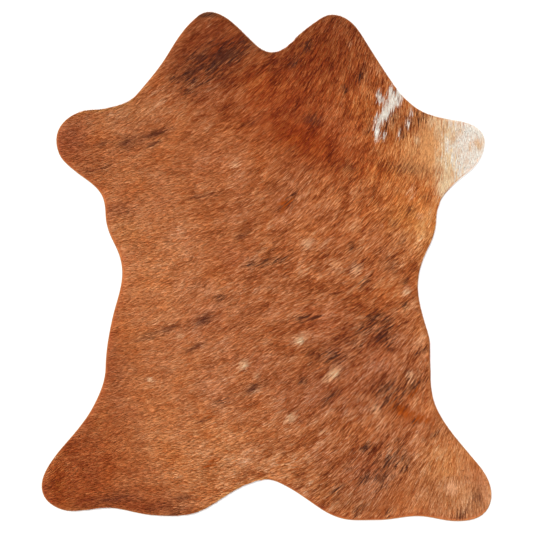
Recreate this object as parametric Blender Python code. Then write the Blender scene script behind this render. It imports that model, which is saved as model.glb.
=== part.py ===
"""Cowhide rug: one natural hair-on hide, spread flat with its coat up.

Metres, +Z up. The hide lies on z = 0 with its neck towards +Y and its tail towards -Y,
and the origin is under the middle of its outline.
"""
import math
from collections import namedtuple

import bmesh
import bpy
from mathutils import Vector
from mathutils.geometry import interpolate_bezier

MM = 0.001

# Driving sizes of the spread hide, in millimetres.
SPREAD_WIDTH = 812.0  # hind leg to hind leg
SPREAD_LENGTH = 919.0  # neck lobes to hind toes
LEATHER = 2.0  # tanned skin
COAT_AT_EDGE = 0.4  # the first hairs lie down over the cut edge
COAT_ON_BELLY = 2.4  # lying hair on legs, flanks and belly
OUTLINE_STEP = 8.0  # between points along the outline
GRID_STEP = 17.0  # between points across the coat

# Rings just inside the cut edge: the width of each, and the share of the coat's depth at its inner side.
EdgeRing = namedtuple("EdgeRing", "name width coat_share")
EDGE_RINGS = (
    EdgeRing("first hairs", 2.5, 0.62),
    EdgeRing("lying coat", 5.5, 1.0),
)

# The cut outline, clockwise from the left neck lobe. x and y in millimetres from the middle of the
# hide; heading is the way that the outline runs there, in degrees from +X, turning to +Y.
Knot = namedtuple("Knot", "name x y heading")
OUTLINE = (
    Knot("left lobe", -105, 459, 5),
    Knot("left lobe inner shoulder", -76, 451, -30),
    Knot("left lobe inner slope", -33, 414, -44),
    Knot("neck notch", 10, 386, -1),
    Knot("right lobe inner slope", 54, 412, 47),
    Knot("right lobe inner shoulder", 98, 447, 34),
    Knot("right lobe", 118, 454, 2),
    Knot("right lobe outer shoulder", 149, 444, -35),
    Knot("right lobe outer slope", 182, 402, -58),
    Knot("right neck", 226, 334, -56),
    Knot("right neck fold", 269, 287, -36),
    Knot("right fore top", 334, 265, -8),
    Knot("right fore knuckle", 386, 246, -44),
    Knot("right fore tip", 395, 221, -94),
    Knot("right fore under", 366, 169, -142),
    Knot("right armpit", 322, 129, -129),
    Knot("right rib bulge", 307, 83, -91),
    Knot("right rib slope", 294, 36, -117),
    Knot("right waist", 274, -35, -90),
    Knot("right flank", 286, -100, -74),
    Knot("right flank bulge", 296, -143, -91),
    Knot("right belly", 297, -200, -89),
    Knot("right groin", 308, -256, -65),
    Knot("right thigh", 366, -337, -50),
    Knot("right hind front", 404, -394, -74),
    Knot("right hind tip", 396, -443, -131),
    Knot("right hind toe", 341, -460, 179),
    Knot("right hind sole", 275, -451, 179),
    Knot("right hind heel", 202, -458, 180),
    Knot("right rump corner", 155, -458, 177),
    Knot("right tail slope", 97, -437, 146),
    Knot("right of the tail notch", 36, -397, 152),
    Knot("tail notch", -3, -385, -174),
    Knot("left tail slope", -93, -428, -147),
    Knot("left rump corner", -145, -449, -172),
    Knot("left hind heel", -208, -449, 175),
    Knot("left hind sole", -287, -436, 180),
    Knot("left hind toe", -350, -442, 180),
    Knot("left hind tip", -391, -427, 141),
    Knot("left hind front", -405, -392, 84),
    Knot("left hind shank", -380, -341, 54),
    Knot("left shin", -348, -303, 50),
    Knot("left thigh", -313, -254, 62),
    Knot("left groin", -290, -183, 89),
    Knot("left belly", -277, -91, 77),
    Knot("left waist", -260, -10, 91),
    Knot("left rib slope", -275, 42, 118),
    Knot("left rib bulge", -290, 92, 92),
    Knot("left armpit", -298, 130, 121),
    Knot("left fore under", -346, 172, 140),
    Knot("left fore sole", -374, 203, 112),
    Knot("left fore tip", -371, 253, 56),
    Knot("left fore top", -309, 283, 1),
    Knot("left neck fold", -256, 294, 19),
    Knot("left neck crease", -231, 313, 50),
    Knot("left neck", -178, 382, 59),
    Knot("left lobe outer shoulder", -133, 443, 43),
)

# Where the coat lies deeper than on the belly. Centre, reach each way and added depth, in millimetres.
Swell = namedtuple("Swell", "name x y reach_x reach_y rise")
COAT_SWELLS = (
    Swell("back line", 10, -20, 110, 430, 0.9),
    Swell("left neck lobe", -105, 380, 70, 60, 0.5),
    Swell("right neck lobe", 120, 375, 75, 65, 0.5),
    Swell("neck crease", 10, 330, 40, 60, -0.4),
    Swell("left shoulder", -170, 170, 90, 80, 0.5),
    Swell("right shoulder", 185, 165, 95, 85, 0.5),
    Swell("left ribs", -165, -40, 70, 90, 0.4),
    Swell("right ribs", 170, -60, 70, 90, 0.4),
    Swell("left rump", -120, -300, 80, 80, 0.6),
    Swell("right rump", 130, -310, 80, 80, 0.6),
    Swell("left hind leg", -320, -370, 45, 45, 0.3),
    Swell("right hind leg", 315, -385, 50, 45, 0.3),
)

COAT_COLOR = (0.392, 0.122, 0.044, 1.0)
COAT_ROUGHNESS = 0.62


def unit(heading):
    """The direction of a heading, as a vector in the ground plane."""
    angle = math.radians(heading)
    return Vector((math.cos(angle), math.sin(angle), 0.0))


def span(start, end):
    """Points from one knot up to the next, on the curve that leaves and arrives at their headings."""
    a = Vector((start.x, start.y, 0.0))
    b = Vector((end.x, end.y, 0.0))
    chord = (b - a).length
    turn = math.radians((end.heading - start.heading + 180.0) % 360.0 - 180.0)
    handle = chord / (3.0 * math.cos(turn / 4.0) ** 2)  # exact length for an arc of that turn
    steps = max(2, round(chord / OUTLINE_STEP))
    leave = a + unit(start.heading) * handle
    arrive = b - unit(end.heading) * handle
    return interpolate_bezier(a, leave, arrive, b, steps + 1)[:-1]


def hide_outline():
    """The whole outline in metres, centred and fitted to the driving width and length."""
    points = []
    for start, end in zip(OUTLINE, OUTLINE[1:] + OUTLINE[:1]):
        points.extend(span(start, end))
    low_x, high_x = min(p.x for p in points), max(p.x for p in points)
    low_y, high_y = min(p.y for p in points), max(p.y for p in points)
    scale_x = SPREAD_WIDTH / (high_x - low_x) * MM
    scale_y = SPREAD_LENGTH / (high_y - low_y) * MM
    middle = Vector(((low_x + high_x) / 2.0, (low_y + high_y) / 2.0, 0.0))
    return [Vector(((p.x - middle.x) * scale_x, (p.y - middle.y) * scale_y, 0.0)) for p in points]


def coat_depth(point):
    """Depth of the lying hair at a point of the hide, in metres."""
    depth = COAT_ON_BELLY
    for swell in COAT_SWELLS:
        across = (point.x / MM - swell.x) / swell.reach_x
        along = (point.y / MM - swell.y) / swell.reach_y
        depth += swell.rise * math.exp(-(across**2 + along**2))
    return depth * MM


def cut_grid(bm, kept, step):
    """Cuts all faces but the kept ones into squares of one step, so that the coat can rise and fall."""
    for axis in (0, 1):
        low = min(v.co[axis] for v in bm.verts)
        high = max(v.co[axis] for v in bm.verts)
        count = math.floor((high - low) / step)
        first = (low + high - (count - 1) * step) / 2.0
        for index in range(count):
            place = Vector((0.0, 0.0, 0.0))
            place[axis] = first + index * step
            normal = Vector((0.0, 0.0, 0.0))
            normal[axis] = 1.0
            inner = [f for f in bm.faces if f not in kept]
            edges = list({e for f in inner for e in f.edges})
            verts = list({v for f in inner for v in f.verts})
            geometry = inner + edges + verts
            bmesh.ops.bisect_plane(bm, geom=geometry, dist=1e-5, plane_co=place, plane_no=normal)


def build_hide():
    """The hide: a flat underside, a thin cut edge and a coat that deepens away from it."""
    bm = bmesh.new()
    corners = [bm.verts.new(point) for point in hide_outline()]
    corners.reverse()  # anticlockwise, so that the face looks up
    top = bm.faces.new(corners)

    share = {v: COAT_AT_EDGE * MM / coat_depth(v.co) for v in bm.verts}
    ring_faces = set()
    for ring in EDGE_RINGS:
        made = bmesh.ops.inset_region(
            bm, faces=[top], thickness=ring.width * MM, use_boundary=True, use_even_offset=True
        )
        ring_faces.update(made["faces"])
        for vert in top.verts:
            share[vert] = ring.coat_share
    cut_grid(bm, ring_faces, GRID_STEP * MM)

    rim = [e for e in bm.edges if e.is_boundary]
    wall = bmesh.ops.extrude_edge_only(bm, edges=rim)
    floor_edges = [e for e in wall["geom"] if isinstance(e, bmesh.types.BMEdge) and e.is_boundary]
    floor_verts = {v for e in floor_edges for v in e.verts}
    for vert in bm.verts:
        if vert not in floor_verts:
            vert.co.z = LEATHER * MM + coat_depth(vert.co) * share.get(vert, 1.0)
    bmesh.ops.contextual_create(bm, geom=floor_edges)
    bmesh.ops.recalc_face_normals(bm, faces=bm.faces)

    mesh = bpy.data.meshes.new("hide")
    bm.to_mesh(mesh)
    bm.free()
    return mesh


def coat_material():
    """Warm red-brown hair."""
    material = bpy.data.materials.new("hide_coat")
    material.use_nodes = True
    surface = material.node_tree.nodes["Principled BSDF"]
    surface.inputs["Base Color"].default_value = COAT_COLOR
    surface.inputs["Roughness"].default_value = COAT_ROUGHNESS
    surface.inputs["Metallic"].default_value = 0.0
    return material


def main():
    for old in list(bpy.data.objects):
        bpy.data.objects.remove(old, do_unlink=True)
    mesh = build_hide()
    mesh.materials.append(coat_material())
    mesh.shade_smooth()
    mesh.set_sharp_from_angle(angle=math.radians(40.0))
    hide = bpy.data.objects.new("hide", mesh)
    bpy.context.collection.objects.link(hide)


main()
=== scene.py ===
# %% [markdown]
# # A hair-on cowhide rug
#
# The rug is one natural hide, tanned with its hair on, cut to the animal's spread outline and laid
# flat on a pale floor. The camera looks straight down on it. Everything here is in metres, with the
# neck towards +Y and the surface of the floor at z = 0.
#
# The construction solid of the hide is already made. This lesson dresses it: a thin sheet of leather
# takes its place, and about 158,000 small locks of hair are laid on the leather.

# %% Load the hide that everything is fitted to
import math
from collections import namedtuple

import bpy
import numpy as np
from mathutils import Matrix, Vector
from mathutils.bvhtree import BVHTree


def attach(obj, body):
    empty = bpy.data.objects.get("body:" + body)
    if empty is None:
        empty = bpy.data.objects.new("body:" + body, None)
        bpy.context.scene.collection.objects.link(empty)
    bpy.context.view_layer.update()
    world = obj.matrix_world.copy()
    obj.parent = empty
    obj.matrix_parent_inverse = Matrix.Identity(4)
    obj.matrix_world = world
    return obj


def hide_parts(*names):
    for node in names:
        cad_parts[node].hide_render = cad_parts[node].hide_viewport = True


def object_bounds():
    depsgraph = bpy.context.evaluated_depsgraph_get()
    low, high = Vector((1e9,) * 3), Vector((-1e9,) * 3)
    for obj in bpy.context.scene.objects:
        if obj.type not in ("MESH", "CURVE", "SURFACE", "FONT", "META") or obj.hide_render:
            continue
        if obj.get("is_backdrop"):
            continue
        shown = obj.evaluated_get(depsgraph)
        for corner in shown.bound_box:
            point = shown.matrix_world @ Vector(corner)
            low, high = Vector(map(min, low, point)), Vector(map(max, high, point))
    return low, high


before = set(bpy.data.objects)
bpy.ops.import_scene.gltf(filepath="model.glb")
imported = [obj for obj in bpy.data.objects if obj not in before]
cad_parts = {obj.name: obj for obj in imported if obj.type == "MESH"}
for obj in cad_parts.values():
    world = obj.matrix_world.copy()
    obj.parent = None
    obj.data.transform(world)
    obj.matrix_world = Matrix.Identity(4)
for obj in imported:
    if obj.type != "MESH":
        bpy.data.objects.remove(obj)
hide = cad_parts["hide"]
cad_low, cad_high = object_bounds()
MM = 0.001
RUG_WIDTH = cad_high.x - cad_low.x

# %% [markdown]
# ## Camera, floor and light
#
# The picture was taken from straight above, so a long lens hangs over the middle of the rug. One
# pixel of the picture is 1.8 mm on the rug, which fixes how high the camera hangs. The light is that
# of a pack shot: a white sky all round gives an even, nearly shadowless floor, and one broad, soft
# sun from the upper left draws out the relief of the hair.

# %% Camera
PICTURE_PIXELS = 533
PIXEL_SIZE = 1.8 * MM
LENS = 100.0
SENSOR = 36.0


def new_object(name, data):
    """An object around a mesh, a camera or a light, put into the scene."""
    made = bpy.data.objects.new(name, data)
    bpy.context.collection.objects.link(made)
    return made


camera_data = bpy.data.cameras.new("camera_above")
camera_data.lens = LENS
camera_data.sensor_width = SENSOR
camera = new_object("camera_above", camera_data)
camera.location = (0.0, 0.0, cad_high.z + PICTURE_PIXELS * PIXEL_SIZE * LENS / SENSOR)
bpy.context.scene.camera = camera
print(f"camera {camera.location.z:.2f} m above the floor")

# %% White floor
FLOOR_SIZE = 12.0
FLOOR_DROP = 0.2 * MM  # below the leather, so that their faces don't fight
FLOOR_WHITE = (0.95, 0.95, 0.95, 1.0)
FLOOR_ROUGHNESS = 0.9


def add_node(tree, kind, links=None, **settings):
    """Adds a node, sets its settings, and fills or links its inputs, named or numbered in links."""
    node = tree.nodes.new(kind)
    for name, value in settings.items():
        setattr(node, name, value)
    for name, value in (links or {}).items():
        if isinstance(value, bpy.types.NodeSocket):
            tree.links.new(value, node.inputs[name])
        else:
            node.inputs[name].default_value = value
    return node


def new_material(name):
    """A material that has no nodes yet, and its tree. One of that name is made anew."""
    material = bpy.data.materials.get(name) or bpy.data.materials.new(name)
    material.use_nodes = True
    material.node_tree.nodes.clear()
    return material, material.node_tree


def finish_surface(tree, color, roughness, height=None, relief=0.0):
    """Ends a material with its surface, embossed by a height if one is given, and returns that node."""
    inputs = {"Base Color": color, "Roughness": roughness}
    if height is not None:
        bump = add_node(tree, "ShaderNodeBump", {"Height": height, "Distance": relief, "Strength": 1.0})
        inputs["Normal"] = bump.outputs[0]
    surface = add_node(tree, "ShaderNodeBsdfPrincipled", inputs)
    add_node(tree, "ShaderNodeOutputMaterial", {"Surface": surface.outputs[0]})
    return surface


bpy.ops.object.select_all(action="DESELECT")
bpy.ops.mesh.primitive_plane_add(size=FLOOR_SIZE, location=(0.0, 0.0, -FLOOR_DROP))
floor = bpy.context.object
floor.name = "floor"
floor_white, tree = new_material("floor_white")
finish_surface(tree, FLOOR_WHITE, FLOOR_ROUGHNESS)
floor.data.materials.append(floor_white)
floor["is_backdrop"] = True
print(f"floor {FLOOR_SIZE:.0f} m wide")

# %% Sky and sun
SKY_STRENGTH = 0.81
SUN_STRENGTH = 2.02
SUN_SOFTNESS = 24.0  # degrees across
SUN_HEIGHT = 52.0  # degrees above the floor
SUN_TURN = 120.0  # degrees from +X

world = bpy.data.worlds.new("white_sky")
world.use_nodes = True
background = world.node_tree.nodes["Background"]
background.inputs["Color"].default_value = (1.0, 1.0, 1.0, 1.0)
background.inputs["Strength"].default_value = SKY_STRENGTH
bpy.context.scene.world = world

sun_data = bpy.data.lights.new("soft_sun", "SUN")
sun_data.energy = SUN_STRENGTH
sun_data.angle = math.radians(SUN_SOFTNESS)
sun = new_object("soft_sun", sun_data)
height, turn = math.radians(SUN_HEIGHT), math.radians(SUN_TURN)
sun_place = Vector(
    (math.cos(height) * math.cos(turn), math.cos(height) * math.sin(turn), math.sin(height))
)
sun.rotation_euler = sun_place.to_track_quat("Z", "Y").to_euler()
bpy.context.scene.view_settings.view_transform = "Standard"
print(f"sun {SUN_HEIGHT:.0f} degrees high, {SUN_SOFTNESS:.0f} degrees across")

# %% [markdown]
# ## The leather
#
# Under the hair lies one sheet of tanned skin, 2 mm thick. Its outline is the hide's own, so it is
# taken from the underside of the construction solid: the faces that look down are kept, and the flat
# ones are merged to a single face. The cut edge is drawn in a little, because hair hangs over it, and
# a second inset parts off the narrow rim where the knife has shorn the hair. Thin cuts then give the
# sheet points to bend by, and an extrusion gives it its thickness.

# %% Take the outline from the underside
HAIR_OVERHANG = 0.8 * MM
SHORN_RIM = 1.3 * MM
WELD = 0.01 * MM  # corners nearer than this are one
STRAIGHT = math.radians(0.1)  # faces that bend less than this are one
LEVEL_DOWN = -0.99  # the normal of a face that looks straight down has less than this height
RIM_FACE = 0.1  # square metres: each face of the rim is smaller, and the whole middle larger
UNDER_HAIR, CUT_EDGE, SUEDE = range(3)  # the leather's material slots


def pick(piece):
    """Selects one object alone, in object mode."""
    if bpy.context.mode != "OBJECT":
        bpy.ops.object.mode_set(mode="OBJECT")
    bpy.ops.object.select_all(action="DESELECT")
    piece.select_set(True)
    bpy.context.view_layer.objects.active = piece


def edit_only(piece):
    """Opens one object alone in edit mode and selects all of it."""
    pick(piece)
    bpy.ops.object.mode_set(mode="EDIT")
    bpy.ops.mesh.select_all(action="SELECT")


def select_faces(piece, wanted):
    """Selects the faces of a piece in edit mode for which wanted(face) holds."""
    bpy.ops.object.mode_set(mode="OBJECT")
    for part in (piece.data.vertices, piece.data.edges):
        part.foreach_set("select", [False] * len(part))
    for face in piece.data.polygons:
        face.select = bool(wanted(face))
    bpy.ops.object.mode_set(mode="EDIT")


skin = new_object("skin", hide.data.copy())
edit_only(skin)
bpy.context.tool_settings.mesh_select_mode = (False, False, True)
bpy.ops.mesh.remove_doubles(threshold=WELD)
select_faces(skin, lambda face: face.normal.z > LEVEL_DOWN)
bpy.ops.mesh.delete(type="FACE")
bpy.ops.mesh.select_all(action="SELECT")
bpy.ops.mesh.dissolve_limited(angle_limit=STRAIGHT, use_dissolve_boundaries=False)
bpy.ops.mesh.inset(thickness=HAIR_OVERHANG, use_boundary=True)
bpy.ops.mesh.select_all(action="INVERT")
bpy.ops.mesh.delete(type="FACE")
bpy.ops.mesh.select_all(action="SELECT")
bpy.ops.mesh.inset(thickness=SHORN_RIM, use_boundary=True)
bpy.ops.object.mode_set(mode="OBJECT")
skin.data.materials.clear()
for name in ("under_hair", "cut_edge", "suede_underside"):
    skin.data.materials.append(bpy.data.materials.new(name))
for face in skin.data.polygons:
    face.material_index = CUT_EDGE if face.area < RIM_FACE else UNDER_HAIR
print(f"underside: {len(skin.data.polygons)} faces with {len(skin.data.vertices)} corners")

# %% Cut it into a grid and give it its thickness
LEATHER = 2.0 * MM
CUT_STEP = 8.0 * MM
STEEP = 0.5  # a face looks up or down where its normal has more height than this, or else sideways

edit_only(skin)
for axis in (0, 1):
    low, high = cad_low[axis], cad_high[axis]
    count = math.floor((high - low) / CUT_STEP)
    for index in range(count):
        place = [0.0, 0.0, 0.0]
        place[axis] = (low + high) / 2.0 + (index - (count - 1) / 2.0) * CUT_STEP
        normal = [0.0, 0.0, 0.0]
        normal[axis] = 1.0
        bpy.ops.mesh.select_all(action="SELECT")
        bpy.ops.mesh.bisect(plane_co=place, plane_no=normal, threshold=WELD)
bpy.ops.mesh.select_all(action="SELECT")
bpy.ops.mesh.extrude_region_move(TRANSFORM_OT_translate={"value": (0.0, 0.0, LEATHER)})
bpy.ops.mesh.select_all(action="SELECT")
bpy.ops.mesh.normals_make_consistent(inside=False)
bpy.ops.object.mode_set(mode="OBJECT")
skin.data.validate()

# %% [markdown]
# ## Where each lock of hair is rooted
#
# Hair could be grown with a hair system, but its strands can't be handed on as a solid model. So the
# coat is made of small meshes instead, one for each lock of a few dozen hairs. Their roots are strewn
# over the top of the leather by Geometry Nodes. Poisson scattering keeps a least distance between any
# two of them, as follicles do, and that looks combed where plain random points look mangy.

# %% Strew the roots over the leather
ROOT_SPACING = 1.28 * MM
ROOT_TRIES = 1_400_000.0  # for each square metre; the spacing lets about a fifth of them live
ROOT_SEED = 11
LEVEL_UP = 0.9  # roots stand only where the leather's normal has more height than this


def new_tree(name, kind, inputs, outputs):
    """A node tree with sockets of the kinds given by name, and the node that hands its inputs on."""
    tree = bpy.data.node_groups.new(name, kind)
    for way, sockets in (("INPUT", inputs), ("OUTPUT", outputs)):
        for socket, holds in sockets.items():
            tree.interface.new_socket(socket, in_out=way, socket_type="NodeSocket" + holds)
    return tree, add_node(tree, "NodeGroupInput")


def compare(tree, operation, a, b):
    """A Compare node for two numbers, as its output socket."""
    return add_node(tree, "FunctionNodeCompare", {"A": a, "B": b}, operation=operation).outputs[0]


def apply_nodes(piece, tree, **inputs):
    """Puts a Geometry Nodes modifier on a piece, fills its inputs and applies it."""
    pick(piece)
    modifier = piece.modifiers.new(tree.name, "NODES")
    modifier.node_group = tree
    for name, value in inputs.items():
        modifier[tree.interface.items_tree[name].identifier] = value
    bpy.ops.object.modifier_apply(modifier=modifier.name)


def points_of(mesh):
    """The places of a mesh's points, one row for each."""
    places = np.empty(len(mesh.vertices) * 3, np.float32)
    mesh.vertices.foreach_get("co", places)
    return places.reshape(-1, 3)


strew, start = new_tree("strew_roots", "GeometryNodeTree", {"Leather": "Geometry"}, {"Roots": "Geometry"})
facing = add_node(strew, "GeometryNodeInputNormal")
facing = add_node(strew, "ShaderNodeSeparateXYZ", {0: facing.outputs[0]})
scatter = add_node(
    strew,
    "GeometryNodeDistributePointsOnFaces",
    {
        "Mesh": start.outputs[0],
        "Selection": compare(strew, "GREATER_THAN", facing.outputs["Z"], LEVEL_UP),
        "Distance Min": ROOT_SPACING,
        "Density Max": ROOT_TRIES,
        "Seed": ROOT_SEED,
    },
    distribute_method="POISSON",
)
to_mesh = add_node(strew, "GeometryNodePointsToVertices", {"Points": scatter.outputs["Points"]})
add_node(strew, "NodeGroupOutput", {0: to_mesh.outputs[0]})

roots = new_object("hair_roots", skin.data.copy())
apply_nodes(roots, strew)
root_at = points_of(roots.data)
root_count = len(root_at)

# %% [markdown]
# ## How the hair lies
#
# On this hide the hair sweeps to the right and up: nearly level on the left flank, steeper and
# steeper towards the right, and a little steeper still over the neck. A comb chart of a few rows says
# so. Each lock gets an angle from the chart, and a small turn of its own.

# %% Comb chart
CombColumn = namedtuple("CombColumn", "name x angle")  # millimetres, degrees from +X
COMB = (
    CombColumn("left legs", -380, 12),
    CombColumn("left flank", -200, 17),
    CombColumn("left of the back", -120, 20),
    CombColumn("back", -10, 30),
    CombColumn("right of the back", 95, 42),
    CombColumn("right ribs", 150, 49),
    CombColumn("right flank", 205, 57),
    CombColumn("right edge", 260, 63),
    CombColumn("right legs", 315, 76),
    CombColumn("right toes", 370, 92),
)
CombTurn = namedtuple("CombTurn", "name x y reach_x reach_y turn")
COMB_TURNS = (
    CombTurn("right neck lobe", 130, 340, 170, 130, 22),
    CombTurn("left neck lobe", -120, 370, 120, 110, 15),
    CombTurn("neck notch", -10, 375, 50, 50, -10),
    CombTurn("right shoulder", 245, 250, 75, 70, 16),
    CombTurn("left shoulder", -240, 280, 80, 70, 12),
    CombTurn("hollow of the back", 150, -10, 160, 130, -9),
    CombTurn("middle of the back", 55, 112, 60, 60, 11),
    CombTurn("left ribs", -140, -80, 70, 80, 9),
    CombTurn("right ribs", 250, -50, 80, 130, -17),
    CombTurn("loins", 110, -120, 90, 80, -13),
    CombTurn("left rump", -200, -385, 150, 75, -13),
    CombTurn("tail", 30, -380, 70, 60, -12),
    CombTurn("right thigh", 285, -310, 90, 90, -12),
    CombTurn("left thigh", -270, -335, 60, 60, 13),
    CombTurn("left knee", -385, -375, 30, 40, 28),
)
print(f"{len(COMB)} columns of the comb and {len(COMB_TURNS)} turns")

# %% Read the comb chart at each root
def in_millimetres(at):
    """How far to the right and how far up each point lies, in millimetres, as the charts say it."""
    return at[:, 0] / MM, at[:, 1] / MM


def bell(x, y, row):
    """1 at the middle of a row's ellipse, falling softly to 0 outside its reach."""
    return np.exp(-(((x - row.x) / row.reach_x) ** 2) - ((y - row.y) / row.reach_y) ** 2)


def comb_angle(at):
    """The angle at which the hair lies at each point, in degrees from +X."""
    x, y = in_millimetres(at)
    angle = np.interp(x, [c.x for c in COMB], [c.angle for c in COMB])
    for row in COMB_TURNS:
        angle = angle + row.turn * bell(x, y, row)
    return angle


root_angle = comb_angle(root_at)
print(f"hair lies from {root_angle.min():.0f} to {root_angle.max():.0f} degrees")

# %% [markdown]
# ## How long, wide and steep each lock is
#
# A lock is about 19 mm long and 1.1 mm wide, and shorter on the foreleg, the blaze and the scars. It
# leaves the leather at its root, rises to a level of its own and lies flat from there on. The highest
# levels are the top of the coat, which the construction solid gives. Near the cut edge a lock may not
# reach far past the leather, or the outline would fray. A ray along each lock measures the room there.

# %% Where the hair is short
ShortHair = namedtuple("ShortHair", "name x y reach_x reach_y cut")  # cut is a share of the lock's length
SHORT_HAIR = (
    ShortHair("foreleg", 352, 205, 60, 75, 0.45),
    ShortHair("blaze", 222, 280, 36, 50, 0.38),
    ShortHair("back scar", 61, -130, 16, 16, 0.4),
    ShortHair("loin scar", 122, -192, 20, 16, 0.4),
    ShortHair("left loin scars", -32, -184, 22, 20, 0.4),
    ShortHair("tail line scar", 44, -273, 14, 14, 0.4),
    ShortHair("rib scar", 78, 44, 18, 16, 0.35),
    ShortHair("flank scar", 253, -44, 14, 14, 0.35),
    ShortHair("hip scar", 259, -195, 14, 14, 0.35),
    ShortHair("thigh scar", 196, -255, 14, 14, 0.35),
    ShortHair("right toe", 345, -415, 60, 50, 0.25),
)
print(f"{len(SHORT_HAIR)} places with short hair")

# %% Give each lock a direction and a length
LOCK_LENGTH = 19.0 * MM
LENGTH_SHARES = (0.72, 1.22)  # of that length, for the shortest and the longest
TURN_SPREAD = 2.4  # degrees to either side of the comb
TIP_OVERHANG = 1.6 * MM  # the furthest that a tip reaches past the leather
OVERHANG_POWER = 1.5  # above 1, so that few tips reach that far

random = np.random.default_rng(21)
root_turn = np.radians(root_angle + random.normal(0.0, TURN_SPREAD, root_count))
ahead = np.stack([np.cos(root_turn), np.sin(root_turn), np.zeros(root_count)], 1)
lock_length = LOCK_LENGTH * random.uniform(*LENGTH_SHARES, root_count)
overhang = TIP_OVERHANG * random.uniform(0.0, 1.0, root_count) ** OVERHANG_POWER
for row in SHORT_HAIR:
    lock_length = lock_length * (1.0 - row.cut * bell(*in_millimetres(root_at), row))
print(f"locks {lock_length.min() / MM:.1f} to {lock_length.max() / MM:.1f} mm long before the edge is cut")

# %% Cut them back at the edge
WALL_HEIGHT = 10.0 * MM  # how far the cut edge is drawn up and down, for rays to meet it
RAY_LENGTH = 1.3 * LOCK_LENGTH  # past the tip of the longest lock
NO_EDGE = 1.0  # metres of room where no edge is near

side_faces = [f for f in skin.data.polygons if abs(f.normal.z) < STEEP]
wall_points, wall_faces = [], []
for face in side_faces:
    corners = [skin.data.vertices[i].co for i in face.vertices]
    first = len(wall_points)
    for corner in corners:
        lift = WALL_HEIGHT if corner.z > LEATHER / 2 else -WALL_HEIGHT
        wall_points.append((corner.x, corner.y, corner.z + lift))
    wall_faces.append(tuple(range(first, first + len(corners))))
wall = BVHTree.FromPolygons(wall_points, wall_faces)

room = np.full(root_count, NO_EDGE)
for index, (at, way) in enumerate(zip(root_at.tolist(), ahead.tolist())):
    if wall.find_nearest(Vector(at), RAY_LENGTH)[0] is not None:
        hit = wall.ray_cast(Vector(at), Vector(way), RAY_LENGTH)
        if hit[0] is not None:
            room[index] = hit[3]
lock_length = np.minimum(lock_length, room + overhang)
print(f"locks {lock_length.min() / MM:.1f} to {lock_length.max() / MM:.1f} mm long")

# %% Lift them to their levels in the coat
LEVEL_SHARES = (0.3, 1.05)  # of the coat's depth, for the lowest and the highest
TIP_SWAY = 0.6  # millimetres that a tip stands above or below its level
RAY_START = 0.1  # metres up, well above the coat
THIN_COAT = 0.6 * MM  # its depth where a tip lies past the solid

coat_top = BVHTree.FromPolygons(
    [v.co for v in hide.data.vertices], [tuple(f.vertices) for f in hide.data.polygons]
)
tips = root_at + ahead * lock_length[:, None]
top = np.empty(root_count)
for index, tip in enumerate(tips.tolist()):
    hit = coat_top.ray_cast(Vector((tip[0], tip[1], RAY_START)), Vector((0.0, 0.0, -1.0)))
    top[index] = hit[0].z if hit[0] is not None else LEATHER + THIN_COAT
level = (top - LEATHER) * random.uniform(*LEVEL_SHARES, root_count)
tilt = random.normal(0.0, TIP_SWAY, root_count) * MM / lock_length
print(f"locks lie up to {level.max() / MM:.1f} mm above the leather")

# %% Keep on each root what its lock needs
LOCK_WIDTH = 1.08 * MM
WIDTH_SHARES = (0.6, 1.3)
ROLL_SPREAD = 0.25  # radians that a lock leans to either side


def store(mesh, name, values):
    """Keeps numbers or vectors on the points of a mesh, under a name that materials can read."""
    values = np.asarray(values, np.float32)
    kind, key = ("FLOAT_VECTOR", "vector") if values.ndim == 2 else ("FLOAT", "value")
    mesh.attributes.new(name, kind, "POINT").data.foreach_set(key, values.ravel())


lay = np.stack([random.normal(0.0, ROLL_SPREAD, root_count), -tilt, root_turn], 1)
width = LOCK_WIDTH * random.uniform(*WIDTH_SHARES, root_count) * np.sqrt(lock_length / LOCK_LENGTH)
size = np.stack([lock_length, width, level], 1)
store(roots.data, "lay", lay)
store(roots.data, "size", size)
store(roots.data, "shade", random.uniform(0.0, 1.0, root_count))
store(roots.data, "comb", root_angle)
print(f"locks {width.min() / MM:.1f} to {width.max() / MM:.1f} mm wide")

# %% [markdown]
# ## The animal's markings
#
# The coat is red-brown with dark brindle, rusty patches, pale flecks over old scars, a white blaze by
# the right shoulder and a cream foreleg. Markings grow out of the skin, so each lock takes its colour
# from the skin at its root. They are charted as soft ellipses, each with a name, a place, half its
# length along the hair and half its width across it; lean turns it off the hair's direction.

# %% Chart of the dark marks
Mark = namedtuple("Mark", "name x y long wide strength lean", defaults=(1.0, 0))

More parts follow.
